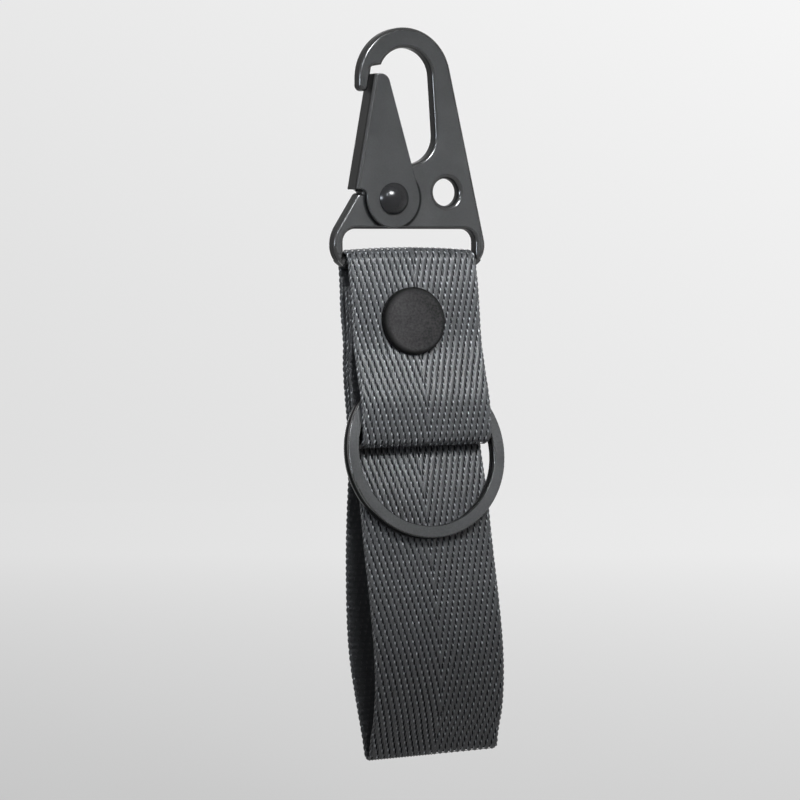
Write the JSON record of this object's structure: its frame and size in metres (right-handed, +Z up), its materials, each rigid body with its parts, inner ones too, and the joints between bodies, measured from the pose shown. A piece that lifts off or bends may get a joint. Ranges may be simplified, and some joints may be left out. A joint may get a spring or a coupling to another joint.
{
  "type": "belt key clip",
  "caption": "Flat snap hook with a sprung gate, hung on a webbing belt loop with a snap-fastened flap that folds through a split key ring.",
  "frame": {"origin": "the saddle: highest point inside the hook's eye, mid-thickness of the plate", "axes": "+X across the front to the spine's side, +Y back through the plate, +Z up along the hook"},
  "size_m": [0.0302, 0.0175, 0.1271],
  "materials": {
    "hook_paint": "satin black paint",
    "gate_paint": "satin black paint",
    "rivet_black": "glossy black",
    "spring_wire": "drawn spring wire",
    "webbing": "grey herringbone nylon",
    "snap_black": "matte black",
    "ring_black": "satin black"
  },
  "bodies": {
    "hook": {"hook_body": "hook_paint", "gate_rivet": "rivet_black"},
    "gate": {"gate": "gate_paint", "gate_spring": "spring_wire"},
    "strap": {"strap_loop": "webbing", "snap_stud": "snap_black", "snap_post": "snap_black"},
    "flap": {"strap_flap": "webbing", "snap_cap": "snap_black", "snap_socket": "snap_black", "snap_spring": "spring_wire"},
    "ring_fold": {"strap_ring_fold": "webbing"},
    "ring": {"key_ring": "ring_black"}
  },
  "joints": [
    {"name": "gate_pivot", "type": "hinge", "parent": "hook", "child": "gate", "pos_m": [-0.0029, 0, -0.0263], "axis": [0, 1, 0], "range_deg": [0, 25], "stiffness_Nm_per_rad": 0.09, "springref_deg": -20.05},
    {"name": "strap_swing", "type": "hinge", "parent": "hook", "child": "strap", "pos_m": [0.0009, 0, -0.0375], "axis": [1, 0, 0], "range_deg": [-85, 95]},
    {"name": "flap_open", "type": "hinge", "parent": "strap", "child": "flap", "pos_m": [0.0009, -0.00309, -0.0401], "axis": [-1, 0, 0], "range_deg": [0, 95]},
    {"name": "ring_swing", "type": "hinge", "parent": "flap", "child": "ring_fold", "pos_m": [0.0009, -0.00552, -0.05388], "axis": [-1, 0, 0], "range_deg": [0, 60]},
    {"name": "ring_spin", "type": "hinge", "parent": "ring_fold", "child": "ring", "pos_m": [0.0009, -0.007, -0.07052], "axis": [0, 0.9763, -0.2164], "continuous": true}
  ]
}
